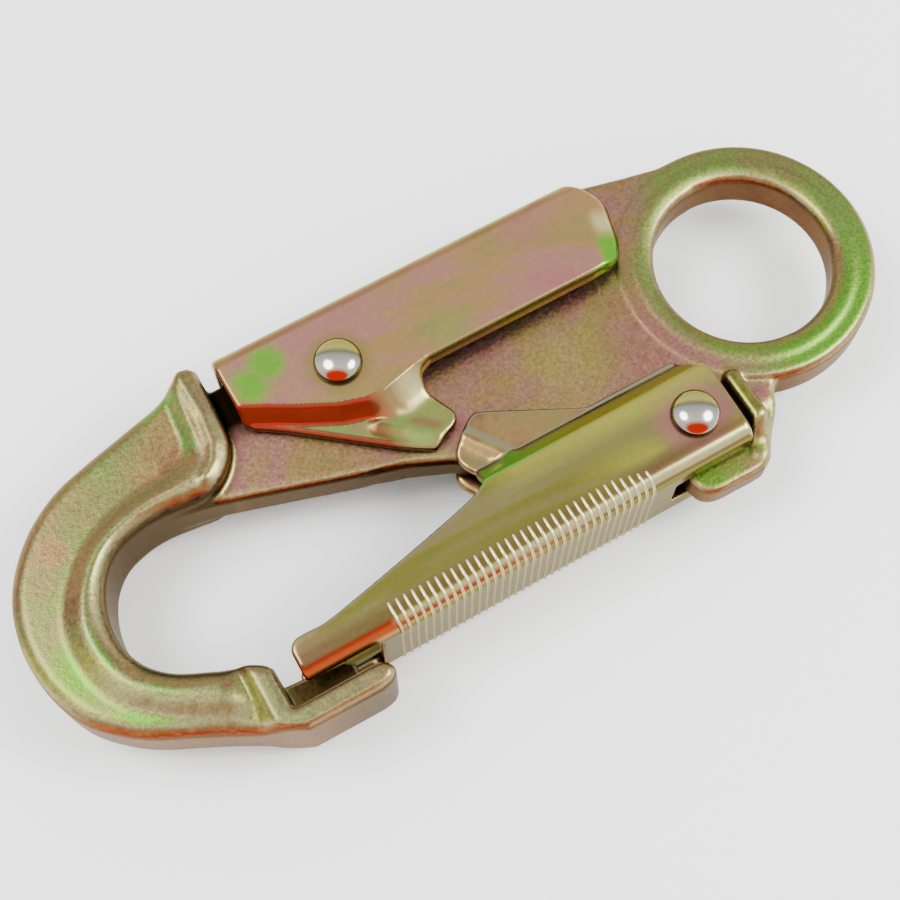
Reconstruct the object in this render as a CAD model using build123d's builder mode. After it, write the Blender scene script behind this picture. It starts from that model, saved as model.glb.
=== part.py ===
from build123d import *
import os

# Forged double-locking snap hook, lying flat.
# Frame: origin at the eye centre, +X from the hook bowl towards the eye, +Z through the thickness.
# All lengths in millimetres.

os.makedirs("parts", exist_ok=True)

# Forged body
EYE_HOLE_RADIUS = 12.7
EYE_OUTER_RADIUS = 19.3
EYE_HALF_THICKNESS = 4.0
EYE_HOLE_ROUNDING = 1.5
EYE_OUTER_ROUNDING = 2.2
WEB_HALF_THICKNESS = 3.1
FLANGE_HALF_THICKNESS = 5.0
BEAD_HALF_THICKNESS = 7.0
NOSE_HALF_THICKNESS = 7.2
TONGUE_HALF_THICKNESS = 2.6
FOOT_HALF_THICKNESS = 2.5
HEEL_BOSS_HALF_THICKNESS = 5.3

# Stamped channels of the gate and of the lock lever
SHEET = 1.6
WALL_OUTER = 8.2
WALL_INNER = WALL_OUTER - SHEET
EAR_OUTER = 5.0
EAR_INNER = EAR_OUTER - SHEET
BEND_RADIUS = 2.4
GATE_BASE_Y = -25.0
GATE_HEEL_X = -15.4
GATE_BASE_END_X = -73.5
FOOT_SLOT_X = -27.4
FOOT_SLOT_HALF_WIDTH = 3.3
LEVER_BACK_Y = 21.9
LEVER_FRONT_X = -75.2
LEVER_SPINE_END_X = -17.8

# Rivets
GATE_PIVOT = (-21.2, -18.5)
LEVER_PIVOT = (-59.9, 12.4)
SHANK_RADIUS = 2.5
SHANK_CLEARANCE = 0.05
HEAD_RADIUS = 3.4
HEAD_HEIGHT = 2.1
HEAD_GAP = 0.1

# Pocket in the back of the body that the lock lever folds into
POCKET_FLOOR_OFFSET = 7.3
POCKET_DEPTH = 40.0
POCKET_LENGTH = 90.0
SPUR_FACE_X = -77.6
POCKET_RADIUS = 44.6
LEVER_TRAVEL = 12.0

# Torsion springs
WIRE_RADIUS = 0.55
COIL_WIRE_RADIUS = 0.5
WIRE_OVERLAP = 0.3
COIL_RADIUS = 3.6
COIL_PITCH = 1.15
COIL_TURNS = 1.5
COIL_GAP = 0.15
GATE_ARM_LENGTH = 17.0
LEVER_ARM_LENGTH = 24.0
LEG_LENGTH = 8.5
PEG_DEPTH = 1.0


def slab(face_points, low, high):
    """Straight-sided plate from corner points, between two heights."""
    with BuildPart() as plate:
        with BuildSketch(Plane.XY.offset(low)):
            with BuildLine():
                Polyline(*face_points, close=True)
            make_face()
        extrude(amount=high - low)
    return plate.part


def both_sides(face_points, low, high):
    """The same plate above and below the mid plane."""
    upper = slab(face_points, low, high)
    return upper + mirror(upper, about=Plane.XY)


# ---------------------------------------------------------------- forged hook body
OUTER_OUTLINE = [
    (-82.5, 21.7), (-92.2, 19.0), (-101.9, 16.3), (-109.6, 10.9), (-113.9, 4.2),
    (-115.1, -2.9), (-113.8, -11.6), (-109.2, -18.2), (-101.9, -22.6), (-92.2, -27.4),
]
BIGHT_OUTLINE = [
    (-83.4, 4.1), (-89.5, 5.2), (-95.1, 4.9), (-99.7, 2.8), (-102.6, -1.8),
    (-103.4, -6.4), (-102.2, -11.2), (-98.8, -14.8), (-94.1, -17.1), (-87.4, -20.8),
]
BEAD_OUTLINE = [
    (-82.0, 10.8), (-92.2, 10.1), (-101.9, 7.1), (-107.3, 1.4), (-109.6, -5.6),
    (-108.4, -13.0), (-103.6, -19.2), (-97.0, -23.4), (-92.0, -26.2),
]

with BuildPart() as flange:
    with BuildSketch(Plane.XY.offset(-FLANGE_HALF_THICKNESS)):
        with BuildLine():
            outer_curve = Spline(*OUTER_OUTLINE)
            inner_curve = Spline(*BIGHT_OUTLINE)
            Line(outer_curve @ 1, inner_curve @ 1)
            Line(outer_curve @ 0, inner_curve @ 0)
        make_face()
    extrude(amount=2 * FLANGE_HALF_THICKNESS)
    long_edges = flange.edges().filter_by(GeomType.BSPLINE).sort_by(SortBy.LENGTH)[-2:]
    fillet(long_edges, radius=1.8)

with BuildPart() as bead:
    with BuildSketch(Plane.XY.offset(-BEAD_HALF_THICKNESS)):
        with BuildLine():
            crest_outer = Spline(*BEAD_OUTLINE)
            crest_inner = Spline(*BIGHT_OUTLINE)
            Line(crest_outer @ 1, crest_inner @ 1)
            Line(crest_outer @ 0, crest_inner @ 0)
        make_face()
    extrude(amount=2 * BEAD_HALF_THICKNESS)
    bead_edges = bead.edges().filter_by(GeomType.BSPLINE)
    fillet(bead_edges, radius=2.3)

SPUR_OUTLINE = [
    (-77.6, 22.4), (-78.4, 23.7), (-79.6, 24.0), (-81.0, 23.4), (-82.6, 21.6), (-84.0, 12.0),
    (-84.6, 5.0), (-83.2, 4.3), (-80.4, 6.2), (-78.4, 8.6), (-77.6, 10.4),
]
with BuildPart() as spur:
    with BuildSketch(Plane.XY.offset(-BEAD_HALF_THICKNESS)):
        with BuildLine():
            Polyline(*SPUR_OUTLINE, close=True)
        make_face()
    extrude(amount=2 * BEAD_HALF_THICKNESS)
    spur_rims = spur.faces().filter_by(Axis.Z).edges()
    fillet(spur_rims, radius=0.9)

with BuildPart() as nose:
    with BuildSketch(Plane.XY.offset(-NOSE_HALF_THICKNESS)):
        with BuildLine():
            Polyline(
                (-94.6, -17.6), (-90.4, -18.9), (-87.3, -21.2), (-87.3, -26.8), (-75.6, -26.8),
                (-73.8, -27.9), (-73.4, -29.2), (-74.4, -30.2), (-76.0, -30.4), (-87.0, -30.4),
                (-94.4, -26.6), (-96.6, -20.4), close=True,
            )
        make_face()
    extrude(amount=2 * NOSE_HALF_THICKNESS)
    nose_rims = nose.faces().filter_by(Axis.Z).edges()
    fillet(nose_rims, radius=1.0)

with BuildPart() as web:
    with BuildSketch(Plane.XY.offset(-WEB_HALF_THICKNESS)):
        with BuildLine():
            Polyline(
                (-84.0, 4.3), (-77.6, 2.2), (-67.9, -0.9), (-58.2, -3.9), (-52.5, -6.4),
                (-46.0, -10.6), (-38.0, -14.4), (-30.0, -17.4), (-28.2, -20.2),
                (-26.6, -23.0), (-24.9, -24.4), (-19.0, -26.0), (-12.2, -26.0), (-7.4, -19.4),
                (0.0, -14.0), (0.0, 19.2), (-3.5, 19.4), (-8.0, 20.5), (-16.6, 22.7),
                (-17.0, 24.0), (-78.5, 24.0), (-82.5, 21.0), close=True,
            )
        make_face()
    extrude(amount=2 * WEB_HALF_THICKNESS)

# The pocket floor lies along the lever's back when the lever is squeezed all the way in.
with BuildPart() as pocket:
    with BuildSketch(Plane.XY.offset(-WEB_HALF_THICKNESS)):
        with Locations(LEVER_PIVOT):
            Circle(POCKET_RADIUS)
    extrude(amount=2 * WEB_HALF_THICKNESS)
    with Locations(Location((LEVER_PIVOT[0], LEVER_PIVOT[1], 0), (0, 0, -LEVER_TRAVEL))):
        with Locations((0, POCKET_FLOOR_OFFSET, 0)):
            Box(
                2 * POCKET_LENGTH, POCKET_DEPTH, 4 * WEB_HALF_THICKNESS,
                align=(Align.CENTER, Align.MIN, Align.CENTER), mode=Mode.INTERSECT,
            )
    with Locations((SPUR_FACE_X, LEVER_PIVOT[1] + POCKET_FLOOR_OFFSET, 0)):
        Box(
            POCKET_LENGTH, POCKET_DEPTH, 4 * WEB_HALF_THICKNESS,
            align=(Align.MIN, Align.MIN, Align.CENTER), mode=Mode.ADD,
        )
    with Locations((SPUR_FACE_X, 0, 0)):
        Box(
            POCKET_LENGTH, 4 * POCKET_DEPTH, 4 * WEB_HALF_THICKNESS,
            align=(Align.MAX, Align.CENTER, Align.CENTER), mode=Mode.SUBTRACT,
        )
    with Locations((LEVER_PIVOT[0], LEVER_PIVOT[1], 0)):
        Cylinder(POCKET_RADIUS, 4 * WEB_HALF_THICKNESS, mode=Mode.INTERSECT)

with BuildPart() as eye:
    Cylinder(EYE_OUTER_RADIUS, 2 * EYE_HALF_THICKNESS)
    fillet(eye.edges().filter_by(GeomType.CIRCLE), radius=EYE_OUTER_ROUNDING)

HEEL_BOSS_OUTLINE = [
    (-13.5, -14.6), (-12.3, -14.0), (-11.1, -14.6), (-10.9, -22.4), (-13.6, -26.0), (-15.2, -27.4),
    (-15.6, -26.6), (-13.7, -23.6),
]
with BuildPart() as heel_boss:
    with BuildSketch(Plane.XY.offset(-HEEL_BOSS_HALF_THICKNESS)):
        with BuildLine():
            Polyline(*HEEL_BOSS_OUTLINE, close=True)
        make_face()
    extrude(amount=2 * HEEL_BOSS_HALF_THICKNESS)

FOOT_OUTLINE = [
    (-24.9, -24.4), (-24.7, -26.4), (-23.6, -27.9), (-21.8, -28.4), (-15.0, -28.4), (-13.4, -27.4),
    (-7.6, -20.0), (-12.0, -20.0),
]

with BuildPart() as hook_body:
    add(web.part)
    add(pocket.part, mode=Mode.SUBTRACT)
    add(flange.part)
    add(bead.part)
    add(spur.part)
    add(nose.part)
    add(eye.part)
    add(heel_boss.part)
    add(slab(FOOT_OUTLINE, -FOOT_HALF_THICKNESS, FOOT_HALF_THICKNESS))
    add(slab(
        [(-88.0, -23.2), (-78.6, -23.6), (-77.6, -24.6), (-77.6, -27.4), (-88.0, -27.4)],
        -TONGUE_HALF_THICKNESS, TONGUE_HALF_THICKNESS,
    ))
    Cylinder(EYE_HOLE_RADIUS, 4 * EYE_HALF_THICKNESS, mode=Mode.SUBTRACT)
    hole_rims = (
        hook_body.edges()
        .filter_by(GeomType.CIRCLE)
        .filter_by(lambda edge: abs(edge.radius - EYE_HOLE_RADIUS) < 0.01)
        .filter_by(lambda edge: abs(edge.arc_center.X) < 0.01)
    )
    fillet(hole_rims, radius=EYE_HOLE_ROUNDING)
    for pivot in (GATE_PIVOT, LEVER_PIVOT):
        with Locations((pivot[0], pivot[1], 0)):
            Cylinder(SHANK_RADIUS, 4 * WEB_HALF_THICKNESS, mode=Mode.SUBTRACT)
hook_body.part.label = "hook_body"
export_step(hook_body.part, "parts/hook_body.step")


# ---------------------------------------------------------------- gate
GATE_OUTLINE = [
    (-84.5, -26.0), (-84.5, -21.0), (-83.9, -19.8), (-82.6, -19.3), (-78.2, -19.3), (-72.8, -18.2),
    (-63.0, -16.1), (-53.4, -13.7), (-50.6, -12.3), (-51.0, -9.6), (-51.8, -8.4), (-52.0, -7.2),
    (-51.6, -6.0), (-50.2, -4.6), (-48.6, -3.3), (-47.3, -2.3), (-46.3, -2.2), (-32.2, -9.4),
    (-17.8, -9.4), (-17.0, -12.3), (-16.0, -12.9), (GATE_HEEL_X, -14.2), (GATE_HEEL_X, -26.0),
]
JOGGLE_TOP_Y = -9.9
JOGGLE_BASE_Y = -12.3

with BuildPart() as gate_channel:
    with BuildSketch(Plane.YZ.offset(GATE_OUTLINE[0][0])):
        with BuildLine():
            Polyline(
                (0, EAR_OUTER), (JOGGLE_TOP_Y, EAR_OUTER), (JOGGLE_BASE_Y, WALL_OUTER),
                (GATE_BASE_Y, WALL_OUTER), (GATE_BASE_Y, 0), (GATE_BASE_Y + SHEET, 0),
                (GATE_BASE_Y + SHEET, WALL_INNER), (JOGGLE_BASE_Y - SHEET / 2, WALL_INNER),
                (JOGGLE_TOP_Y - SHEET / 2, EAR_INNER), (0, EAR_INNER), close=True,
            )
        make_face()
        mirror(about=Plane.XZ)
    extrude(amount=GATE_HEEL_X - GATE_OUTLINE[0][0])
    base_corners = (
        gate_channel.edges()
        .filter_by(Axis.X)
        .filter_by(lambda edge: abs(edge.center().Y - GATE_BASE_Y) < 0.01)
    )
    fillet(base_corners, radius=BEND_RADIUS)
    inner_corners = (
        gate_channel.edges()
        .filter_by(Axis.X)
        .filter_by(lambda edge: abs(edge.center().Y - GATE_BASE_Y - SHEET) < 0.01)
        .filter_by(lambda edge: abs(abs(edge.center().Z) - WALL_INNER) < 0.01)
    )
    fillet(inner_corners, radius=BEND_RADIUS - SHEET)

with BuildPart() as gate:
    add(gate_channel.part)
    add(slab(GATE_OUTLINE, -2 * WALL_OUTER, 2 * WALL_OUTER), mode=Mode.INTERSECT)
    with Locations((GATE_BASE_END_X, GATE_BASE_Y, 0)):
        Box(
            40, 4 * SHEET, 2 * (WALL_OUTER - BEND_RADIUS),
            align=(Align.MAX, Align.CENTER, Align.CENTER), mode=Mode.SUBTRACT,
        )
    with Locations((FOOT_SLOT_X, GATE_BASE_Y, 0)):
        Box(
            40, 4 * SHEET, 2 * FOOT_SLOT_HALF_WIDTH,
            align=(Align.MIN, Align.CENTER, Align.CENTER), mode=Mode.SUBTRACT,
        )
    with Locations((GATE_PIVOT[0], GATE_PIVOT[1], 0)):
        Cylinder(SHANK_RADIUS + SHANK_CLEARANCE, 4 * WALL_OUTER, mode=Mode.SUBTRACT)
gate.part.label = "gate"
export_step(gate.part, "parts/gate.step")


# ---------------------------------------------------------------- lock lever
LEVER_WALL_OUTLINE = [
    (LEVER_FRONT_X, LEVER_BACK_Y - BEND_RADIUS), (LEVER_FRONT_X, 12.1), (-67.9, 8.1), (-63.0, 5.8),
    (-58.2, 4.5), (-55.3, 3.9), (-50.7, 3.4), (-50.6, 4.9), (-50.0, 6.0), (-48.5, 6.8),
    (-19.4, 6.8), (-19.4, LEVER_BACK_Y - BEND_RADIUS),
]
LEVER_LOBE_OUTLINE = [
    (LEVER_FRONT_X, 12.1), (-67.9, 8.1), (-63.0, 5.8), (-58.2, 4.5), (-55.3, 3.9), (-50.7, 3.4),
    (-50.0, 2.0), (-48.9, -0.4), (-49.0, -1.6), (-49.6, -2.3), (-51.4, -3.2), (-53.6, -4.5),
    (-57.3, -2.2), (-61.7, 1.2), (-67.0, 5.4), (-74.6, 11.0),
]
JOGGLE_WALL_OUTLINE = [
    (LEVER_FRONT_X, 12.1), (-67.9, 8.1), (-63.0, 5.8), (-58.2, 4.5), (-55.3, 3.9), (-50.7, 3.4),
    (-50.4, 1.8), (-53.5, 2.0), (-57.6, 2.8), (-62.4, 4.2), (-67.4, 6.5), (-74.9, 10.8),
]
END_FLANGE_OUTLINE = [
    (-19.6, LEVER_BACK_Y - BEND_RADIUS), (LEVER_SPINE_END_X, LEVER_BACK_Y - BEND_RADIUS),
    (-15.4, 18.4), (-13.8, 16.6), (-14.0, 14.4), (-15.2, 10.2), (-16.6, 8.0), (-18.0, 7.2),
    (-19.6, 6.8),
]
END_FLANGE_DROP_X = -13.4

with BuildPart() as spine:
    with BuildSketch(Plane.YZ.offset(LEVER_FRONT_X)):
        with BuildLine():
            Polyline(
                (LEVER_BACK_Y - BEND_RADIUS, WALL_OUTER), (LEVER_BACK_Y, WALL_OUTER),
                (LEVER_BACK_Y, -WALL_OUTER), (LEVER_BACK_Y - BEND_RADIUS, -WALL_OUTER),
                (LEVER_BACK_Y - BEND_RADIUS, -WALL_INNER), (LEVER_BACK_Y - SHEET, -WALL_INNER),
                (LEVER_BACK_Y - SHEET, WALL_INNER), (LEVER_BACK_Y - BEND_RADIUS, WALL_INNER),
                close=True,
            )
        make_face()
    extrude(amount=LEVER_SPINE_END_X - LEVER_FRONT_X)
    spine_corners = (
        spine.edges()
        .filter_by(Axis.X)
        .filter_by(lambda edge: abs(edge.center().Y - LEVER_BACK_Y) < 0.01)
    )
    fillet(spine_corners, radius=BEND_RADIUS - 0.01)

with BuildPart() as end_flange:
    with BuildSketch(Plane.XZ):
        with BuildLine():
            Polyline(
                (-19.6, WALL_OUTER), (-18.2, WALL_OUTER), (END_FLANGE_DROP_X, EAR_OUTER + 1.2),
                (END_FLANGE_DROP_X, EAR_OUTER - 0.4), (-18.6, WALL_INNER), (-19.6, WALL_INNER),
                close=True,
            )
        make_face()
        mirror(about=Plane.YZ)
    extrude(amount=-LEVER_BACK_Y)
    add(slab(END_FLANGE_OUTLINE, -2 * WALL_OUTER, 2 * WALL_OUTER), mode=Mode.INTERSECT)

with BuildPart() as lock_lever:
    add(spine.part)
    add(both_sides(LEVER_WALL_OUTLINE, WALL_INNER, WALL_OUTER))
    add(both_sides(LEVER_LOBE_OUTLINE, EAR_INNER, EAR_OUTER))
    add(both_sides(JOGGLE_WALL_OUTLINE, EAR_INNER, WALL_OUTER))
    add(end_flange.part)
    with Locations((LEVER_PIVOT[0], LEVER_PIVOT[1], 0)):
        Cylinder(SHANK_RADIUS + SHANK_CLEARANCE, 4 * WALL_OUTER, mode=Mode.SUBTRACT)
lock_lever.part.label = "lock_lever"
export_step(lock_lever.part, "parts/lock_lever.step")


# ---------------------------------------------------------------- rivets
def make_rivet(name, pivot):
    """Plain shank with a low domed head at each end."""
    dome_radius = (HEAD_RADIUS ** 2 + HEAD_HEIGHT ** 2) / (2 * HEAD_HEIGHT)
    head_level = WALL_OUTER + HEAD_GAP
    with BuildPart() as head:
        with Locations((pivot[0], pivot[1], head_level + HEAD_HEIGHT - dome_radius)):
            Sphere(dome_radius)
        with Locations((pivot[0], pivot[1], head_level)):
            Cylinder(
                HEAD_RADIUS, HEAD_HEIGHT,
                align=(Align.CENTER, Align.CENTER, Align.MIN), mode=Mode.INTERSECT,
            )
    with BuildPart() as rivet:
        with Locations((pivot[0], pivot[1], 0)):
            Cylinder(SHANK_RADIUS, 2 * head_level)
        add(head.part)
        add(mirror(head.part, about=Plane.XY))
    rivet.part.label = name
    export_step(rivet.part, "parts/" + name + ".step")


make_rivet("gate_rivet", GATE_PIVOT)
make_rivet("lock_rivet", LEVER_PIVOT)


# ---------------------------------------------------------------- torsion springs
def make_spring(name, pivot, turned, arm_length, arm_tilt, side):
    """One coil beside the web, with a free arm and an anchored leg pegged into the web."""
    coil_low = WEB_HALF_THICKNESS + WIRE_RADIUS + COIL_GAP
    coil_high = coil_low + COIL_TURNS * COIL_PITCH
    with BuildPart() as wire:
        with BuildLine(Plane.XY.offset(coil_low)):
            coil = Helix(pitch=COIL_PITCH, height=COIL_TURNS * COIL_PITCH, radius=COIL_RADIUS)
        with BuildSketch(Plane(origin=coil @ 0, z_dir=coil % 0)):
            Circle(COIL_WIRE_RADIUS)
        sweep(path=coil, is_frenet=True)
        with Locations(Location((COIL_RADIUS, WIRE_OVERLAP, coil_low), (90, 0, arm_tilt))):
            Cylinder(WIRE_RADIUS, arm_length, align=(Align.CENTER, Align.CENTER, Align.MIN))
        with Locations(Location((-COIL_RADIUS, WIRE_OVERLAP, coil_high), (90, 0, 0))):
            Cylinder(WIRE_RADIUS, LEG_LENGTH, align=(Align.CENTER, Align.CENTER, Align.MIN))
        peg_top = coil_high + WIRE_RADIUS
        with Locations((-COIL_RADIUS, WIRE_OVERLAP + WIRE_RADIUS - LEG_LENGTH, peg_top)):
            Cylinder(
                WIRE_RADIUS, peg_top - WEB_HALF_THICKNESS + PEG_DEPTH,
                align=(Align.CENTER, Align.CENTER, Align.MAX),
            )
    placed = wire.part.rotate(Axis.Z, turned).translate((pivot[0], pivot[1], 0))
    if side == "lower":
        placed = mirror(placed, about=Plane.XY)
    placed.label = name + "_" + side
    export_step(placed, "parts/" + placed.label + ".step")


for side in ("upper", "lower"):
    make_spring("gate_spring", GATE_PIVOT, -90, GATE_ARM_LENGTH, 1.5, side)
    make_spring("lock_spring", LEVER_PIVOT, 90, LEVER_ARM_LENGTH, 7.0, side)
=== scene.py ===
import math

import bmesh
import bpy
import numpy as np
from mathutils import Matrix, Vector


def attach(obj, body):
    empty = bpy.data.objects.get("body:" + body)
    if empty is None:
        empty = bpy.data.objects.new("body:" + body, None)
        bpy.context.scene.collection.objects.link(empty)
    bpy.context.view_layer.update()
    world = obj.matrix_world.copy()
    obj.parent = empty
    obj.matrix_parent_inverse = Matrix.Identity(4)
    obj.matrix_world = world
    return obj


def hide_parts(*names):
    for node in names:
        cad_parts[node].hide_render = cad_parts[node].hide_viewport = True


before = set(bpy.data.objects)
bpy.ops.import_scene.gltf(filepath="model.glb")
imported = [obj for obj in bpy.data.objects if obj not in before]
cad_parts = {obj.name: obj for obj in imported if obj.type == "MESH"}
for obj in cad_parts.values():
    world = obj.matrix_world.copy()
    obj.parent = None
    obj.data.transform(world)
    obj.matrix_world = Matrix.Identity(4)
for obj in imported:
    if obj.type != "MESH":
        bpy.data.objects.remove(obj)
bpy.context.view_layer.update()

MM = 0.001

# ------------------------------------------------------------------ plan geometry, in millimetres
EYE_HOLE = 12.7
EYE_OUTER = 19.3
GATE_PIVOT = (-21.2, -18.5)
LEVER_PIVOT = (-59.9, 12.4)


def curve(points, steps=8, closed=False):
    """Catmull-Rom curve through the points."""
    pts = [np.array(p, float) for p in points]
    if closed:
        pts = [pts[-1]] + pts + pts[:2]
    else:
        pts = [2 * pts[0] - pts[1]] + pts + [2 * pts[-1] - pts[-2]]
    out = []
    for a, b, c, d in zip(pts, pts[1:], pts[2:], pts[3:]):
        for i in range(steps):
            t = i / steps
            out.append(
                0.5 * (2 * b + (c - a) * t + (2 * a - 5 * b + 4 * c - d) * t * t
                       + (3 * b - a - 3 * c + d) * t * t * t)
            )
    if not closed:
        out.append(pts[-2])
    return out


def signed_distance(polygon, x, y):
    """Distance to a closed polygon, negative inside."""
    pts = np.array(polygon, float)
    best = np.full(x.shape, 1e9)
    inside = np.zeros(x.shape, bool)
    for a, b in zip(pts, np.roll(pts, -1, axis=0)):
        ex, ey = b - a
        length2 = max(ex * ex + ey * ey, 1e-12)
        px, py = x - a[0], y - a[1]
        t = np.clip((px * ex + py * ey) / length2, 0, 1)
        dx, dy = px - t * ex, py - t * ey
        best = np.minimum(best, dx * dx + dy * dy)
        crosses = (a[1] > y) != (b[1] > y)
        slope = ex / ey if abs(ey) > 1e-12 else 0.0
        inside ^= crosses & (x < a[0] + (y - a[1]) * slope)
    return np.where(inside, -1, 1) * np.sqrt(best)


def path_distance(points, x, y):
    """Distance to an open chain of points."""
    best = np.full(x.shape, 1e9)
    for a, b in zip(points, points[1:]):
        ex, ey = b[0] - a[0], b[1] - a[1]
        px, py = x - a[0], y - a[1]
        t = np.clip((px * ex + py * ey) / max(ex * ex + ey * ey, 1e-12), 0, 1)
        best = np.minimum(best, (px - t * ex) ** 2 + (py - t * ey) ** 2)
    return np.sqrt(best)


def smooth_union(a, b, k):
    """Join of a and b with a fillet."""
    h = np.clip(0.5 + 0.5 * (b - a) / k, 0, 1)
    return b + (a - b) * h - k * h * (1 - h)


def smooth_cut(a, b, k):
    """Overlap of a and b with a rounded edge."""
    return -smooth_union(-a, -b, k)


def round_corner(across, up, rounding):
    """Overlap of two distances that already have the rounding added to them."""
    outside = np.hypot(np.maximum(across, 0), np.maximum(up, 0))
    return outside + np.minimum(np.maximum(across, up), 0) - rounding


def slab(flat, z, half, rounding):
    """Plate of a plan distance and a half thickness with rounded rims."""
    return round_corner(flat + rounding, np.abs(z) - half + rounding, rounding)


def blend01(value, low, high):
    """0 at low and 1 at high, eased at both ends."""
    t = np.clip((value - low) / (high - low), 0, 1)
    return t * t * (3 - 2 * t)


# ------------------------------------------------------------------ meshes and objects
def add_object(name, mesh):
    """Smooth-shaded object of a mesh, in the scene."""
    mesh.polygons.foreach_set("use_smooth", [True] * len(mesh.polygons))
    mesh.update()
    obj = bpy.data.objects.new(name, mesh)
    bpy.context.scene.collection.objects.link(obj)
    return obj


def add_bmesh(name, shape):
    """Object of a closed bmesh, its faces turned outwards."""
    bmesh.ops.recalc_face_normals(shape, faces=shape.faces)
    mesh = bpy.data.meshes.new(name)
    shape.to_mesh(mesh)
    shape.free()
    return add_object(name, mesh)


def skin(shape, rings):
    """Closed tube through rings that have the same number of vertices."""
    count = len(rings[0])
    for one, two in zip(rings, rings[1:]):
        for k in range(count):
            m = (k + 1) % count
            shape.faces.new((one[k], one[m], two[m], two[k]))
    shape.faces.new(rings[0][::-1])
    shape.faces.new(rings[-1])


# ------------------------------------------------------------------ surface from a distance field
def cell_vertices(field):
    """One vertex for each crossed cell, in grid units, and the index grid that finds them."""
    shape = tuple(n - 1 for n in field.shape)
    total = np.zeros(shape + (3,))
    count = np.zeros(shape)
    grids = np.meshgrid(*(np.arange(n) for n in shape), indexing="ij")
    for axis in range(3):
        others = [k for k in range(3) if k != axis]
        for u in (0, 1):
            for v in (0, 1):
                start = [0, 0, 0]
                start[others[0]], start[others[1]] = u, v
                ends = [start[k] + shape[k] for k in range(3)]
                a = field[tuple(slice(start[k], ends[k]) for k in range(3))]
                moved = [slice(start[k] + (k == axis), ends[k] + (k == axis)) for k in range(3)]
                b = field[tuple(moved)]
                crossing = (a < 0) != (b < 0)
                part = np.where(crossing, a / np.where(crossing, a - b, 1), 0)
                for k in range(3):
                    offset = part if k == axis else start[k]
                    total[..., k] += np.where(crossing, grids[k] + offset, 0)
                count += crossing
    used = count > 0
    index = np.full(shape, -1)
    index[used] = np.arange(used.sum())
    return total[used] / count[used][:, None], index


def cell_faces(inside, index):
    """One quad for each grid edge that runs through the surface, facing outwards."""
    quads = []
    for axis in range(3):
        u, v = [(1, 2), (2, 0), (0, 1)][axis]
        lo = [slice(1, -1)] * 3
        lo[axis] = slice(0, -1)
        hi = list(lo)
        hi[axis] = slice(1, None)
        a, b = inside[tuple(lo)], inside[tuple(hi)]
        flips = np.argwhere(a != b)
        starts_in = a[tuple(flips.T)]
        cell = flips.copy()
        for k in range(3):
            if k != axis:
                cell[:, k] += 1
        corner = []
        for du, dv in ((-1, -1), (0, -1), (0, 0), (-1, 0)):
            c = cell.copy()
            c[:, u] += du
            c[:, v] += dv
            corner.append(index[tuple(c.T)])
        q = np.stack(corner, axis=1)
        quads.append(np.where(starts_in[:, None], q, q[:, ::-1]))
    return np.concatenate(quads)


PULLS = 2
FURTHEST_PULL = 0.6
LEAST_SLOPE_SQUARED = 0.25


def pulled_onto(value, points, step):
    """Points moved along the slope of the distance until it is zero there."""
    small = step * 0.1
    for _ in range(PULLS):
        here = value(points)
        slope = np.stack(
            [(value(points + small * e) - value(points - small * e)) / (2 * small)
             for e in np.eye(3)], axis=1,
        )
        size2 = np.maximum((slope ** 2).sum(1), LEAST_SLOPE_SQUARED)
        pull = -(here / size2)[:, None] * slope
        reach = np.linalg.norm(pull, axis=1, keepdims=True)
        points = points + pull * np.minimum(1, FURTHEST_PULL * step / np.maximum(reach, 1e-9))
    return points


def surface(name, plan, solid, low, high, step):
    """Mesh of solid(plan(x, y), z) = 0 inside the box from low to high."""
    xs, ys, zs = (np.arange(low[k], high[k] + step, step) for k in range(3))
    gx, gy = np.meshgrid(xs, ys, indexing="ij")
    field = solid([p[:, :, None] for p in plan(gx, gy)], zs[None, None, :])
    field = np.where(field == 0, 1e-9, field)
    points, index = cell_vertices(field)
    points = points * step + np.array([xs[0], ys[0], zs[0]])
    quads = cell_faces(field < 0, index)
    points = pulled_onto(lambda p: solid(plan(p[:, 0], p[:, 1]), p[:, 2]), points, step)

    mesh = bpy.data.meshes.new(name)
    mesh.from_pydata((points * MM).tolist(), [], quads.tolist())
    mesh.validate()
    return add_object(name, mesh)


# ------------------------------------------------------------------ forged body
OUTER_EDGE = [
    (-78.4, 22.9), (-79.8, 23.0), (-81.6, 22.1), (-84.0, 21.0), (-87.3, 20.2), (-92.2, 19.0),
    (-97.0, 17.8), (-101.9, 16.3), (-106.3, 13.8), (-109.6, 10.9), (-112.3, 7.4), (-114.1, 3.6),
    (-115.1, -1.0), (-115.1, -5.6), (-114.1, -10.6), (-112.0, -15.0), (-108.6, -18.6),
    (-105.0, -21.2), (-101.4, -23.0), (-97.0, -25.2), (-92.2, -27.8), (-87.0, -30.4),
]
LIP_END = [
    (-76.4, -30.5), (-74.7, -30.1), (-73.7, -29.2), (-73.7, -28.1), (-74.7, -27.1),
    (-76.4, -26.8),
]
INNER_EDGE = [
    (-87.4, -21.0), (-88.6, -19.8), (-91.2, -18.4), (-95.8, -16.4), (-99.0, -14.7),
    (-101.6, -12.2), (-103.1, -9.0), (-103.4, -5.6), (-102.7, -2.0), (-101.0, 1.4),
    (-98.4, 3.8), (-95.1, 5.0), (-91.4, 5.4), (-87.3, 5.0), (-84.6, 4.8), (-82.4, 5.4),
    (-80.2, 7.0), (-78.5, 9.4), (-77.8, 12.0), (-77.5, 17.0), (-77.5, 21.9),
]
HOOK = (
    curve(OUTER_EDGE, 5) + curve(LIP_END, 4) + [(-87.0, -26.8), (-87.3, -26.5)]
    + curve(INNER_EDGE, 5)
)
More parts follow.
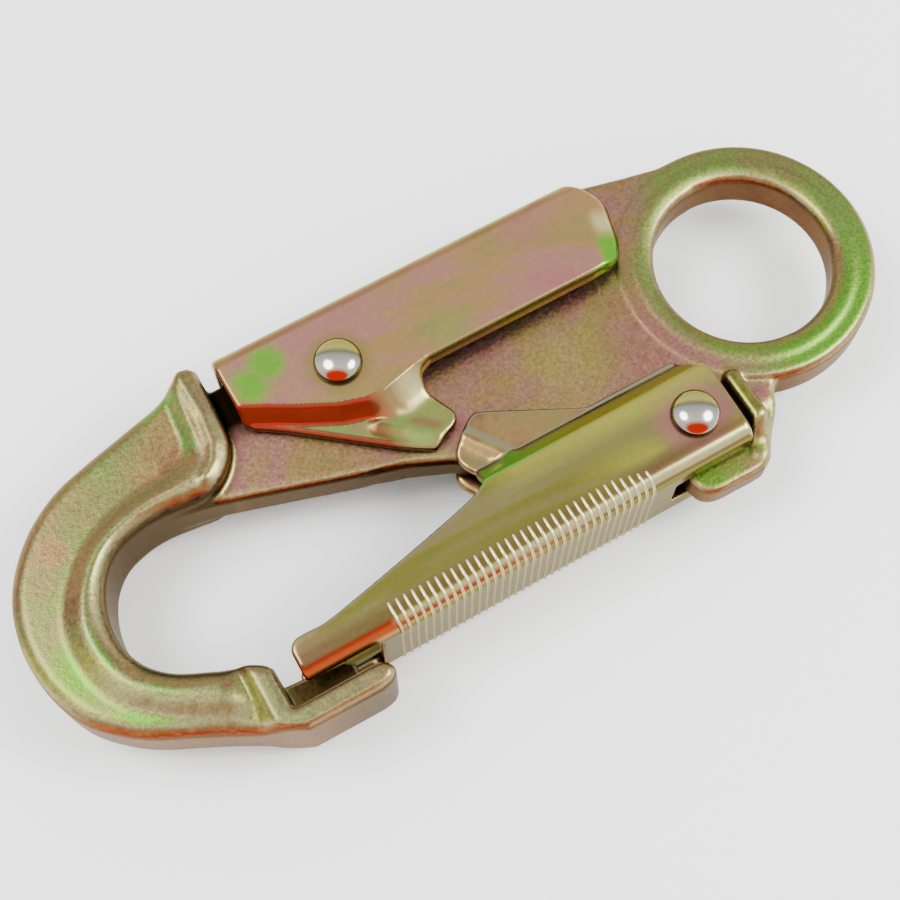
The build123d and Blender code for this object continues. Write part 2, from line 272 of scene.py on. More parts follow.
VALLEY = curve([
    (-80.6, 25.0), (-82.6, 21.5), (-83.3, 17.0), (-83.7, 13.6), (-84.9, 11.6), (-87.4, 10.7),
    (-92.2, 10.2), (-97.0, 9.2), (-101.9, 7.0), (-105.4, 3.8), (-107.8, 0.6), (-109.2, -2.8),
    (-109.6, -7.0), (-108.8, -11.8), (-106.8, -15.8), (-103.6, -19.0), (-99.6, -21.8),
    (-95.6, -24.0), (-90.0, -26.4), (-86.0, -27.6),
], 5)
BAND = VALLEY + [(-80.0, -20.0), (-88.0, -8.0), (-72.0, 4.0), (-72.0, 26.0)]
SPUR_CREST = [(-79.9, 22.4), (-79.6, 15.0), (-80.2, 10.7), (-81.4, 8.4), (-83.4, 6.9)]
NOSE_RIDGE = [(-89.0, -17.0), (-89.0, -27.2), (-88.2, -28.4), (-87.0, -28.65), (-75.4, -28.65)]
WEB = [
    (-89.0, 5.6), (-87.3, 5.02), (-85.4, 4.6), (-83.4, 4.0), (-77.6, 2.2), (-67.9, -0.9),
    (-58.2, -3.9), (-52.5, -6.4), (-46.0, -10.6), (-38.0, -14.4), (-30.0, -17.4), (-28.2, -19.4),
    (-26.0, -20.4), (-13.0, -21.0), (-8.6, -21.0), (-6.9, -18.9), (-4.6, -17.2), (0.0, -14.0),
    (0.0, 19.1), (-3.0, 19.4), (-8.0, 20.5), (-16.6, 22.7), (-17.6, 23.6), (-79.0, 22.0),
    (-82.5, 20.0),
]
FOOT = curve([
    (-24.9, -23.4), (-24.8, -26.2), (-23.9, -27.6), (-22.2, -28.3), (-19.0, -28.4),
    (-15.8, -28.4), (-14.1, -27.9), (-11.0, -24.3), (-8.4, -21.2), (-9.0, -18.5), (-14.0, -17.6),
    (-22.0, -18.2),
], 4, closed=True)
BOSS_LINE = [(-12.3, -15.4), (-12.1, -22.0), (-14.3, -26.2)]
TONGUE = [(-90.0, -22.8), (-78.6, -23.6), (-77.6, -24.6), (-77.6, -28.0), (-90.0, -28.0)]
STEP_LINE = [(-60.0, -2.0), (-40.6, -6.2), (-29.0, -8.7), (-20.4, -9.8), (-14.0, -14.0)]

POCKET_FLOOR = 7.3
POCKET_RADIUS = 44.6
POCKET_TURN = math.radians(12.0)
POCKET_END_X = -77.6

# half thicknesses, and rises above them
FLANGE_HALF = 5.15
BEAD_RISE = 1.7
NOSE_RISE = 2.0
SPUR_RISE = 0.42
EYE_HALF = 3.5
WEB_HALF = 3.15
STEP_SUNK = 0.4
FOOT_HALF = 2.55
TONGUE_HALF = 2.6
BOSS_HALF = 5.3
BOSS_DROP = 2.4
BOSS_WIDTH = 1.25
FILLET = 0.9


def hook_height(x, y):
    """Half thickness and edge rounding: a thin flange, a proud bead and spur, a ridged nose."""
    reach = 3.5 - 1.5 * blend01(y, 9.0, 14.0)
    bead = blend01(-signed_distance(BAND, x, y), -0.7, reach)
    bead_end = blend01(x, -94.8, -91.4) * blend01(-y, 13.0, 15.0)
    height = FLANGE_HALF + BEAD_RISE * bead * (1 - 0.5 * bead_end)
    height += SPUR_RISE * blend01(1.4 - path_distance(SPUR_CREST, x, y), 0.0, 1.4)
    ridge_in = blend01(3.8 - path_distance(NOSE_RIDGE, x, y), 0.2, 2.9)
    nose = FLANGE_HALF + NOSE_RISE * ridge_in
    rounding = 2.3 + 0.6 * bead
    at_nose = blend01(x, -94.0, -90.5) * blend01(-y, 14.0, 17.0)
    at_spur = blend01(x, -86.5, -81.5) * blend01(y, 2.0, 5.0)
    rounding += (1.3 - rounding) * at_nose
    rounding += (1.35 - rounding) * at_spur
    return -smooth_union(-height, -nose, 0.5), rounding


def body_plan(x, y):
    """Everything about the forged body that depends on the plan position alone."""
    radius = np.hypot(x, y)
    ring = np.maximum(radius - EYE_OUTER, EYE_HOLE - radius)
    lx, ly = x - LEVER_PIVOT[0], y - LEVER_PIVOT[1]
    floor = POCKET_FLOOR - ly * math.cos(POCKET_TURN) - lx * math.sin(POCKET_TURN)
    floor = np.where(lx < 0, POCKET_FLOOR - ly, floor)
    pocket = smooth_cut(floor, np.hypot(lx, ly) - POCKET_RADIUS, 1.5)
    pocket = smooth_cut(pocket, POCKET_END_X - x, 1.0)
    web = smooth_cut(signed_distance(WEB, x, y), -pocket, 1.0)
    web = np.maximum(web, EYE_HOLE - radius)
    height, rounding = hook_height(x, y)
    return (
        signed_distance(HOOK, x, y), height, rounding, ring, web,
        signed_distance(FOOT, x, y), path_distance(BOSS_LINE, x, y),
        signed_distance(TONGUE, x, y), radius, path_distance(STEP_LINE, x, y), x, y,
    )


def body_solid(p, z):
    """Signed distance to the forged body, from body_plan's values and the height."""
    hook, height, rounding, ring, web, foot, boss, tongue, radius, stepped, x, y = p
    crest = EYE_HALF + 0.25 * blend01(radius, 17.0, 15.7) - 0.5 * blend01(radius, 15.5, 13.0)
    eye = slab(ring, z, crest, 1.3)
    below_step = y < -7.5 - 0.19 * (x + 35.0)
    recess = STEP_SUNK * blend01(stepped, 0.0, 2.6) * below_step
    plate = slab(web, z, WEB_HALF + 0.15 * blend01(radius, 26.0, 19.0) - recess, 1.1)
    shape = smooth_union(plate, eye, 0.3)
    shape = smooth_union(shape, slab(foot, z, FOOT_HALF, 0.95), FILLET)
    boss_height = BOSS_HALF - BOSS_DROP * blend01(-y, 21.6, 25.6)
    shape = smooth_union(shape, slab(boss - BOSS_WIDTH, z, boss_height, 1.05), FILLET)
    shape = smooth_union(shape, slab(hook, z, height, rounding), FILLET)
    shape = smooth_union(shape, slab(tongue, z, TONGUE_HALF, 0.6), 0.5)
    return smooth_cut(shape, EYE_HOLE - radius, 1.6)


BODY_STEP = 0.38
hook_body = surface(
    "forged_body", body_plan, body_solid, (-116.5, -32.0, -8.4), (20.8, 25.6, 8.4), BODY_STEP,
)
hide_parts("hook_body")
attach(hook_body, "hook")

# ------------------------------------------------------------------ stamped channels
SHEET = 1.6
WALL = 8.2
EAR = 5.0
DROP = WALL - EAR
BEND = 2.4
GATE_BASE_Y = -25.0
LEVER_BACK_Y = 21.9
BASE_END_X = -73.5
FOOT_SLOT_X = -27.4
NOSE_CUT_HALF = 6.3
FOOT_SLOT_HALF = 3.3
RIVET_BORE = 2.6
HEEL_DROP = 2.6


def channel(along, z, drop, drop_inside):
    """U-shaped sheet; along is the distance in from its base, drop how far its walls are sunk."""
    height = np.abs(z)
    shells = []
    for inset, sink in ((0.0, drop), (SHEET, drop_inside)):
        across = -(along - inset) + BEND - inset
        up = height + sink - (WALL - inset) + BEND - inset
        shells.append(round_corner(across, up, BEND) + inset)
    return smooth_cut(shells[0], -shells[1], 0.25)


def ease(t):
    """0 to 1 with a straight middle and rounded ends."""
    t = np.clip(t, 0, 1)
    return 0.5 * t + 0.5 * t * t * (3 - 2 * t)


def ridge(x, y, start, end, width):
    """1 on the line from start to end, falling to 0 at width."""
    return blend01(np.clip(1 - path_distance([start, end], x, y) / width, 0, 1), 0.0, 1.0)


def bore(x, y, pivot):
    """Distance from a rivet's hole, negative outside it."""
    return RIVET_BORE - np.hypot(x - pivot[0], y - pivot[1])


GATE = (
    [(-84.5, -27.0)]
    + curve([(-84.5, -22.0), (-84.4, -20.6), (-83.6, -19.6), (-82.2, -19.3), (-78.6, -19.3),
             (-72.8, -18.2), (-63.0, -16.1), (-54.6, -14.1), (-52.0, -13.1), (-51.0, -12.2)])
    + curve([(-50.8, -10.2), (-51.7, -8.7), (-52.0, -7.2), (-51.5, -5.9), (-50.2, -4.6),
             (-48.7, -3.3), (-47.3, -2.4), (-46.2, -2.3), (-44.6, -3.0)])
    + [(-33.6, -8.7), (-32.4, -9.2), (-18.6, -9.2)]
    + curve([(-17.6, -10.6), (-16.8, -12.2), (-15.8, -13.0), (-15.4, -14.4), (-15.4, -16.0)])
    + [(-15.4, -27.0)]
)


def gate_plan(x, y):
    """The gate's outline, its distance from the base and how far its walls are sunk."""
    drop = DROP * ease((y + 12.7) / 2.9)
    drop_inside = DROP * ease((y + 13.5) / 2.9)
    fold = 0.55 * ridge(x, y, (-49.6, -4.4), (-45.6, -10.2), 1.8)
    fold -= 0.2 * ridge(x, y, (-51.2, -7.0), (-49.2, -9.6), 1.6)
    fold *= blend01(y, -12.2, -10.4)
    return signed_distance(GATE, x, y), y - GATE_BASE_Y, drop - fold, drop_inside - fold, x, y


def gate_solid(p, z):
    """Signed distance to the gate, with its nose and foot cut out of the base."""
    outline, along, drop, drop_inside, x, y = p
    shape = smooth_cut(channel(along, z, drop, drop_inside), outline, 0.6)
    near_base = along - 2.2 * SHEET
    nose_cut = smooth_cut(x - BASE_END_X, np.abs(z) - NOSE_CUT_HALF, 1.6)
    foot_cut = smooth_cut(FOOT_SLOT_X - x, np.abs(z) - FOOT_SLOT_HALF, 0.8)
    for cut in (nose_cut, foot_cut):
        shape = smooth_cut(shape, -np.maximum(cut, near_base), 0.35)
    return np.maximum(shape, bore(x, y, GATE_PIVOT))


STAMP_STEP = 0.29
gate = surface(
    "gate_channel", gate_plan, gate_solid, (-85.4, -25.9, -9.0), (-14.4, -1.4, 9.0), STAMP_STEP,
)
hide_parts("gate")
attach(gate, "gate")

LEVER = (
    [(-75.2, 23.0), (-75.3, 18.0), (-75.2, 11.9)]
    + curve([(-74.4, 10.8), (-71.0, 8.5), (-67.0, 5.4), (-61.7, 1.2), (-57.3, -2.2), (-54.4, -4.1),
             (-53.5, -4.3), (-51.4, -3.2), (-49.7, -2.4), (-49.0, -1.6), (-48.9, -0.4),
             (-49.9, 1.9), (-50.6, 3.4), (-50.6, 4.9), (-50.0, 6.1), (-48.5, 6.8)])
    + [(-44.0, 6.8), (-21.8, 6.8)]
    + curve([(-18.4, 7.2), (-16.7, 8.2), (-15.3, 10.3), (-14.4, 13.4), (-13.8, 16.2),
             (-14.6, 18.0), (-17.6, 21.4), (-17.9, 23.0)])
)
JOGGLE_X = [-76.0, -71.0, -67.9, -63.0, -59.0, -56.5, -54.0, -51.0, -48.0]
JOGGLE_Y = [13.9, 11.2, 9.4, 6.9, 5.7, 5.6, 6.2, 6.9, 7.3]


def lever_plan(x, y):
    """The lever's outline, its distance from the base and how far its walls are sunk."""
    below = np.interp(x, JOGGLE_X, JOGGLE_Y) - y
    wide = blend01(x, -60.0, -54.0)
    width = 1.7 + 3.6 * wide
    steps = []
    for early in (0.0, 0.9):
        t = np.clip((below + early) / width, 0, 1)
        steps.append(DROP * ((1 - wide) * ease(t) + wide * (1 - (1 - t) ** 1.8)))
    folded = 0.977 * x - 0.214 * y + 22.4
    tails = [HEEL_DROP * np.clip((folded + early) / 5.6, 0, 1) ** 2.2 for early in (0.0, 0.5)]
    crease = 0.4 * ridge(x, y, (-58.6, 3.0), (-52.7, -2.4), 2.4)
    crease *= blend01(below, 1.5, 3.0)
    return (
        signed_distance(LEVER, x, y), LEVER_BACK_Y - y,
        steps[0] + tails[0] - crease, steps[1] + tails[1] - crease, x, y,
    )


def lever_solid(p, z):
    """Signed distance to the lock lever."""
    outline, along, drop, drop_inside, x, y = p
    shape = smooth_cut(channel(along, z, drop, drop_inside), outline, 0.7)
    return np.maximum(shape, bore(x, y, LEVER_PIVOT))


lever = surface(
    "lock_lever_channel", lever_plan, lever_solid, (-76.2, -5.4, -9.0), (-12.6, 22.8, 9.0),
    STAMP_STEP,
)
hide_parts("lock_lever")
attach(lever, "lock_lever")

# ------------------------------------------------------------------ grip ribs round the gate's bend
RIB_COUNT = 34
RIB_FIRST_X = -70.5
RIB_LAST_X = -31.5
RIB_WIDTH = 0.34
RIB_PROUD = 0.24
RIB_SUNK = 0.12
RIB_REACH = 1.6
RIB_SECTION = [(-1, 0), (-0.55, 0.7), (0, 1), (0.55, 0.7), (1, 0)]


def rib_path(reach):
    """Y, Z, normal and size along the wall, round the bend and down to the mid plane."""
    path = []
    for i in range(5):
        t = i / 4
        path.append((GATE_BASE_Y + BEND + reach * (1 - t), WALL, 0.0, 1.0, math.sqrt(t)))
    for i in range(1, 9):
        a = math.radians(90 * i / 8)
        path.append((
            GATE_BASE_Y + BEND - BEND * math.sin(a), WALL - BEND + BEND * math.cos(a),
            -math.sin(a), math.cos(a), 1.0,
        ))
    for z in (4.0, 2.0, 0.0):
        path.append((GATE_BASE_Y, z, -1.0, 0.0, 0.3))
    return path


ribs = bmesh.new()
for n in range(RIB_COUNT):
    rib_x = RIB_FIRST_X + (RIB_LAST_X - RIB_FIRST_X) * n / (RIB_COUNT - 1)
    from_end = RIB_COUNT - 1 - n
    half = rib_path(RIB_REACH - 0.3 * max(0, 4 - from_end))
    whole = half + [(y, -z, ny, -nz, size) for y, z, ny, nz, size in half[-2::-1]]
    rows = []
    for y, z, ny, nz, size in whole:
        row = []
        for across, lift in RIB_SECTION:
            rise = RIB_PROUD * lift * size if lift else -RIB_SUNK
            row.append(ribs.verts.new(Vector((
                rib_x + across * RIB_WIDTH * (0.6 + 0.4 * size), y + ny * rise, z + nz * rise,
            )) * MM))
        rows.append(row)
    skin(ribs, rows)
gate_ribs = add_bmesh("gate_ribs", ribs)
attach(gate_ribs, "gate")

# ------------------------------------------------------------------ rivets
HEAD_RADIUS = 3.4
HEAD_HEIGHT = 2.1
HEAD_RIM = 0.25
SHANK_RADIUS = 2.5
AROUND = 72
DOME_STEPS = 15


def lathe(name, profile, centre):
    """Surface of revolution about a line along Z through centre."""
    shape = bmesh.new()
    rings = []
    for radius, z in profile:
        if radius < 1e-6:
            rings.append([shape.verts.new((centre[0] * MM, centre[1] * MM, z * MM))])
            continue
        rings.append([
            shape.verts.new((
                (centre[0] + radius * math.cos(2 * math.pi * k / AROUND)) * MM,
                (centre[1] + radius * math.sin(2 * math.pi * k / AROUND)) * MM, z * MM,
            )) for k in range(AROUND)
        ])
    for low, high in zip(rings, rings[1:]):
        for k in range(AROUND):
            m = (k + 1) % AROUND
            if len(low) == 1:
                shape.faces.new((low[0], high[m], high[k]))
            elif len(high) == 1:
                shape.faces.new((low[k], low[m], high[0]))
            else:
                shape.faces.new((low[k], low[m], high[m], high[k]))
    return add_bmesh(name, shape)


def rivet_profile():
    """Both domed heads and the shank between."""
    seat = WALL + 0.1
    rim = seat + HEAD_RIM
    top = [(SHANK_RADIUS, seat), (HEAD_RADIUS - 0.3, seat), (HEAD_RADIUS, rim)]
    for i in range(1, DOME_STEPS):
        a = math.radians(90 * i / DOME_STEPS)
        top.append((HEAD_RADIUS * math.cos(a), rim + (HEAD_HEIGHT - HEAD_RIM) * math.sin(a)))
    top.append((0.0, seat + HEAD_HEIGHT))
    return [(r, -z) for r, z in top[::-1]] + top


rivets = []
for name, pivot in (("gate_rivet", GATE_PIVOT), ("lock_rivet", LEVER_PIVOT)):
    rivet = lathe(name + "_domed", rivet_profile(), pivot)
    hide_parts(name)
    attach(rivet, "hook")
    rivets.append(rivet)


# ------------------------------------------------------------------ torsion springs
WIRE_RADIUS = 0.5
WIRE_SIDES = 14
COIL_RADIUS = 3.6
COIL_PITCH = 1.15
COIL_LOW = 3.8
COIL_HIGH = COIL_LOW + 1.5 * COIL_PITCH
LEG_END = -7.65
LEG_BEND = 0.9
PEG_LOW = 2.1
ASKEW = Vector((0.31, 0.17, 0.94))


def wire_tube(name, path, place):
    """Round wire along a path of one spring, set in place by its turn, pivot and side."""
    turned, pivot, side = place
    tube = bmesh.new()
    rings = []
    points = [Vector(p) for p in path]
    for k, point in enumerate(points):
        along = (points[min(k + 1, len(points) - 1)] - points[max(k - 1, 0)]).normalized()
        across = along.cross(ASKEW).normalized()
        other = along.cross(across)
        ring = []
        for i in range(WIRE_SIDES):
            a = 2 * math.pi * i / WIRE_SIDES
            p = point + WIRE_RADIUS * (math.cos(a) * across + math.sin(a) * other)
            x = p.x * math.cos(turned) - p.y * math.sin(turned) + pivot[0]
            y = p.x * math.sin(turned) + p.y * math.cos(turned) + pivot[1]
            ring.append(tube.verts.new((x * MM, y * MM, side * p.z * MM)))
        rings.append(ring)
    skin(tube, rings)
    obj = add_bmesh(name, tube)
    return obj


def coil_path():
    """The coil with its anchored leg, bent down into the web."""
    path = []
    for k in range(-2, 55):
        a = math.radians(10 * k)
        path.append((COIL_RADIUS * math.cos(a), COIL_RADIUS * math.sin(a),
                     COIL_LOW + COIL_PITCH * a / (2 * math.pi)))
    path.append((-COIL_RADIUS, LEG_END + LEG_BEND, COIL_HIGH))
    for k in range(1, 7):
        a = math.radians(15 * k)
        path.append((-COIL_RADIUS, LEG_END + LEG_BEND - LEG_BEND * math.sin(a),
                     COIL_HIGH - LEG_BEND + LEG_BEND * math.cos(a)))
    path.append((-COIL_RADIUS, LEG_END, PEG_LOW))
    return path


def arm_path(length):
    """The straight working arm, which the channel carries with it."""
    return [(COIL_RADIUS, 0.3, COIL_LOW), (COIL_RADIUS, 0.3 - length, COIL_LOW)]


springs = []
for name, pivot, turned, length, body in (
    ("gate_spring", GATE_PIVOT, -90, 17.0, "gate"),
    ("lock_spring", LEVER_PIVOT, 90, 24.0, "lock_lever"),
):
    for where, side in (("upper", 1), ("lower", -1)):
        place = (math.radians(turned), pivot, side)
        coil = wire_tube(name + "_coil_" + where, coil_path(), place)
        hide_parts(name + "_" + where)
        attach(coil, "hook")
        arm = wire_tube(name + "_arm_" + where, arm_path(length), place)
        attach(arm, body)
        springs += [coil, arm]


# ------------------------------------------------------------------ materials
class Nodes:
    """Small helper that adds nodes to one material."""

    def __init__(self, name):
        self.material = bpy.data.materials.new(name)
        self.material.use_nodes = True
        self.tree = self.material.node_tree
        self.shader = self.tree.nodes["Principled BSDF"]
        self.coord = self.tree.nodes.new("ShaderNodeTexCoord")

    def link(self, source, target):
        self.tree.links.new(source, target)

    def put(self, socket, value):
        if isinstance(value, bpy.types.NodeSocket):
            self.link(value, socket)
        else:
            socket.default_value = value

    def math(self, operation, a, b=0.0, clamp=False):
        node = self.tree.nodes.new("ShaderNodeMath")
        node.operation = operation
        node.use_clamp = clamp
        self.put(node.inputs[0], a)
        self.put(node.inputs[1], b)
        return node.outputs[0]

    def times(self, a, b):
        return self.math("MULTIPLY", a, b)

    def larger(self, a, b):
        return self.math("MAXIMUM", a, b)

    def noise(self, scale, detail=4.0, roughness=0.55, stretch=None, distortion=0.0):
        node = self.tree.nodes.new("ShaderNodeTexNoise")
        node.inputs["Scale"].default_value = scale
        node.inputs["Detail"].default_value = detail
        node.inputs["Roughness"].default_value = roughness
        node.inputs["Distortion"].default_value = distortion
        source = self.coord.outputs["Object"]
        if stretch:
            mapping = self.tree.nodes.new("ShaderNodeMapping")
            mapping.inputs["Scale"].default_value = stretch
            self.link(source, mapping.inputs["Vector"])
            source = mapping.outputs["Vector"]
        self.link(source, node.inputs["Vector"])
        return node.outputs["Fac"]

    def ramp(self, value, stops):
        node = self.tree.nodes.new("ShaderNodeValToRGB")
        ramp = node.color_ramp
        ramp.elements[0].position, ramp.elements[1].position = stops[0][0], stops[-1][0]
        ramp.elements[0].color, ramp.elements[1].color = (*stops[0][1], 1), (*stops[-1][1], 1)
        for position, colour in stops[1:-1]:
            ramp.elements.new(position).color = (*colour, 1)
        self.link(value, node.inputs["Fac"])
        return node.outputs["Color"]

    def mix(self, factor, a, b, mode="MIX"):
        node = self.tree.nodes.new("ShaderNodeMix")
        node.data_type = "RGBA"
        node.blend_type = mode
        self.put(node.inputs["Factor"], factor)
        for socket, value in ((node.inputs[6], a), (node.inputs[7], b)):
            self.put(socket, value if isinstance(value, bpy.types.NodeSocket) else (*value, 1))
        return node.outputs[2]

    def scaled(self, value, low, high):
        """0 at low and 1 at high, held at both ends; low may be the larger of the two."""
        node = self.tree.nodes.new("ShaderNodeMapRange")
        node.clamp = True
        self.link(value, node.inputs["Value"])
        node.inputs["From Min"].default_value = low
        node.inputs["From Max"].default_value = high
        return node.outputs["Result"]

    def side(self, direction):
        """How far the surface leans towards a fixed direction of the part: -1 to 1."""
        node = self.tree.nodes.new("ShaderNodeVectorMath")
        node.operation = "DOT_PRODUCT"
        self.link(self.coord.outputs["Normal"], node.inputs[0])
        node.inputs[1].default_value = direction
        return node.outputs["Value"]

    def near(self, point, inner, outer):
        """1 within inner millimetres of a line along Z through point, 0 beyond outer."""
        node = self.tree.nodes.new("ShaderNodeVectorMath")
        node.operation = "DISTANCE"
        flat = self.tree.nodes.new("ShaderNodeVectorMath")
        flat.operation = "MULTIPLY"
        self.link(self.coord.outputs["Object"], flat.inputs[0])
        flat.inputs[1].default_value = (1, 1, 0)
        self.link(flat.outputs["Vector"], node.inputs[0])
        node.inputs[1].default_value = (point[0] * MM, point[1] * MM, 0)
        return self.scaled(node.outputs["Value"], outer * MM, inner * MM)

    def split(self, vector):
        node = self.tree.nodes.new("ShaderNodeSeparateXYZ")
        self.link(vector, node.inputs[0])
        return node.outputs

    def flatness(self):
        """1 where the surface faces straight up or down, 0 on an upright wall."""
        return self.math("ABSOLUTE", self.split(self.coord.outputs["Normal"])[2])

    def place(self):
        """X, Y and the distance from the part's mid plane, in metres, and the flatness."""
        x, y, z = self.split(self.coord.outputs["Object"])
        return x, y, self.math("ABSOLUTE", z), self.flatness()

    def bump(self, height, strength, distance):
        node = self.tree.nodes.new("ShaderNodeBump")
        node.inputs["Strength"].default_value = strength
        node.inputs["Distance"].default_value = distance
        self.link(height, node.inputs["Height"])
        self.link(node.outputs["Normal"], self.shader.inputs["Normal"])


PAINT_GAIN = 0.74
PAINT_DEPTH = 1.12
UPHILL = (0.2, 0.98, 0.0)
METAL_TINT = (0.84, 0.76, 0.66, 1)


def paint(red, green, blue):
    """Base colour of plating that shows as about this 8-bit colour under the studio light."""
    linear = [(c / 255) ** 2.2 for c in (red, green, blue)]
    grey = sum(linear) / 3
    return tuple(min(0.95, PAINT_GAIN * grey * (c / grey) ** PAINT_DEPTH) for c in linear)


MAUVE = paint(178, 136, 120)
PINK = paint(182, 124, 122)
TAN = paint(174, 144, 98)
OLIVE = paint(150, 142, 96)
MOSS = paint(134, 131, 66)
GREEN = paint(136, 160, 88)
LEAF = paint(112, 178, 58)
YELLOW = paint(190, 188, 96)
CREAM = paint(216, 206, 150)
ORANGE = paint(186, 108, 64)
RED = paint(164, 62, 38)
DEEP_RED = paint(158, 38, 14)
BROWN = paint(112, 84, 58)
DUSK = paint(146, 110, 86)
SHADE = paint(74, 60, 38)
# near black, used for painted shadow in deep slots
SHADOW_BLACK = paint(34, 28, 18)
GREY = paint(160, 156, 126)


def grained(m, colour, lift, roughness, uneven, scale, depth, strength, distance):
    """Finish a material: speckled colour, uneven gloss and a fine bump."""
    speckle = m.noise(scale, 3, 0.65)
    shade = m.ramp(speckle, [
        (0.30, (lift * (1 - depth),) * 3), (0.70, (lift * (1 + 0.6 * depth),) * 3),
    ])
    m.link(m.mix(1.0, colour, shade, "MULTIPLY"), m.shader.inputs["Base Color"])
    m.shader.inputs["Metallic"].default_value = 1.0
    m.shader.inputs["Specular Tint"].default_value = METAL_TINT
    spread = m.times(m.math("SUBTRACT", speckle, 0.5), uneven)
    m.link(m.math("ADD", spread, roughness), m.shader.inputs["Roughness"])
    m.bump(m.noise(0.8 * scale, 4, 0.6), strength, distance)
    return m.material


def lean_ramp(m, side, stops):
    """Colour by lean from -1 (faces down the slope) to 1 (faces up it)."""
    return m.ramp(
        m.math("ADD", m.times(side, 0.5), 0.5),
        [((position + 1) / 2, colour) for position, colour in stops],
    )


def forged_material():
    m = Nodes("forged_zinc")
    x, y, level, nz = m.place()
    cloud = m.noise(110, 4, 0.6, None, 0.5)
    broad = m.noise(38, 2, 0.5, None, 0.4)
    fine = m.noise(520, 3, 0.6)
    web = m.ramp(cloud, [(0.32, PINK), (0.46, MAUVE), (0.58, TAN), (0.70, OLIVE)])
    web = m.mix(m.times(m.near((-31.0, -1.0), 2.0, 11.0), 0.4), web, YELLOW)
    web = m.mix(m.times(m.near((-17.5, -6.0), 4.0, 11.0), 0.6), web, PINK)
    web = m.mix(m.times(m.near((-8.6, -19.2), 2.5, 5.0), 0.7), web, PINK)
    hook = m.ramp(cloud, [(0.26, DUSK), (0.40, TAN), (0.52, OLIVE), (0.68, GREEN)])
    hook = m.mix(m.times(m.scaled(broad, 0.46, 0.62), 0.55), hook, GREEN)
    ring = m.ramp(cloud, [(0.26, TAN), (0.38, OLIVE), (0.54, GREEN)])
    ring = m.mix(m.times(m.scaled(y, 0.002, -0.012), 0.7), ring, LEAF)
    valley = m.larger(m.near((-108.5, -9.0), 2.5, 6.0), m.near((-103.5, -18.5), 2.5, 6.5))
    hook = m.mix(m.times(valley, 0.75), hook, LEAF)
    proud = m.times(m.scaled(level, 0.0040, 0.0048), m.scaled(x, -0.070, -0.074))
    on_hook = m.larger(m.scaled(x, -0.080, -0.084), proud)
    flat = m.mix(on_hook, web, hook)
    round_eye = m.times(m.near((0.0, 0.0), 18.6, 20.8), m.scaled(x, -0.013, -0.003))
    round_eye = m.larger(round_eye, m.near((0.0, 0.0), 14.6, 17.0))
    flat = m.mix(round_eye, flat, ring)
    foot = m.times(m.scaled(y, -0.0190, -0.0225), m.scaled(x, -0.030, -0.026))
    flat = m.mix(m.times(foot, 0.7), flat, m.mix(m.scaled(cloud, 0.4, 0.6), TAN, LEAF))
    boss = m.times(m.scaled(level, 0.0040, 0.0048), m.scaled(x, -0.018, -0.016))
    flat = m.mix(m.times(boss, m.scaled(y, -0.013, -0.015)), flat, MOSS)
    # painted shade: the low floor of the notch by the nose, under the gate, is darkened to SHADE
    notch_shade = m.times(m.near((-81.5, -24.6), 4.5, 7.5), m.scaled(level, 0.0045, 0.0034))
    flat = m.mix(notch_shade, flat, SHADE)

    top = m.times(m.scaled(level, 0.0062, 0.0068), 0.25)
    flat = m.mix(top, flat, GREY)

    lean = m.side(UPHILL)
    wobble = m.times(m.math("SUBTRACT", fine, 0.5), 0.35)
    lean = m.math("ADD", lean, m.times(wobble, m.scaled(nz, 0.998, 0.96)))
    # colour by lean: the cream and yellow stops on slopes facing away from UPHILL are painted
    # highlights; the other stops are plating tints
    sloped = lean_ramp(m, lean, [
        (-0.97, BROWN), (-0.88, DUSK), (-0.80, RED), (-0.70, ORANGE), (-0.54, TAN),
        (-0.34, CREAM), (-0.16, YELLOW), (-0.05, OLIVE), (0.04, OLIVE), (0.13, DUSK),
        (0.26, TAN), (0.50, OLIVE), (1.0, DUSK),
    ])
    # painted highlight: slopes that face right are mixed towards cream
    to_right = m.side((0.87, -0.49, 0.0))
    sloped = m.mix(m.times(m.scaled(to_right, 0.25, 0.5), 0.75), sloped, CREAM)
    green_slope = m.times(m.near((-82.9, 16.6), 3.4, 6.0), m.scaled(lean, -0.1, 0.0))
    green_slope = m.times(green_slope, m.scaled(x, -0.0812, -0.0822))
    sloped = m.mix(green_slope, sloped, paint(140, 186, 96))
    colour = m.mix(m.scaled(nz, 0.992, 0.92), flat, sloped)
    wall = m.ramp(cloud, [(0.35, paint(118, 82, 58)), (0.65, paint(142, 104, 74))])
    colour = m.mix(m.scaled(nz, 0.52, 0.26), colour, wall)
    # painted shade: steep walls inside the hook's opening and along the web's edge under the gate
    # are darkened to SHADE
    under_web = m.times(m.scaled(x, -0.084, -0.079), m.scaled(x, -0.030, -0.036))
    bight_shade = m.larger(under_web, m.near((-91.0, -5.0), 12.6, 13.6))
    bight_shade = m.times(bight_shade, m.scaled(nz, 0.45, 0.25))
    colour = m.mix(m.times(bight_shade, 0.85), colour, SHADE)
    # painted shadow: the deep slot between the spur and the lever's front end is painted near black
    gap_shade = m.times(m.scaled(x, -0.0783, -0.0775), m.scaled(x, -0.0738, -0.0750))
    gap_shade = m.times(gap_shade, m.scaled(y, 0.0098, 0.0134))
    gap_shade = m.times(gap_shade, m.scaled(level, 0.0062, 0.0050))
    colour = m.mix(gap_shade, colour, SHADOW_BLACK)
    return grained(
        m, colour, lift=0.62, roughness=0.35, uneven=0.3, scale=2000,
        depth=0.26, strength=0.7, distance=0.00007,
    )


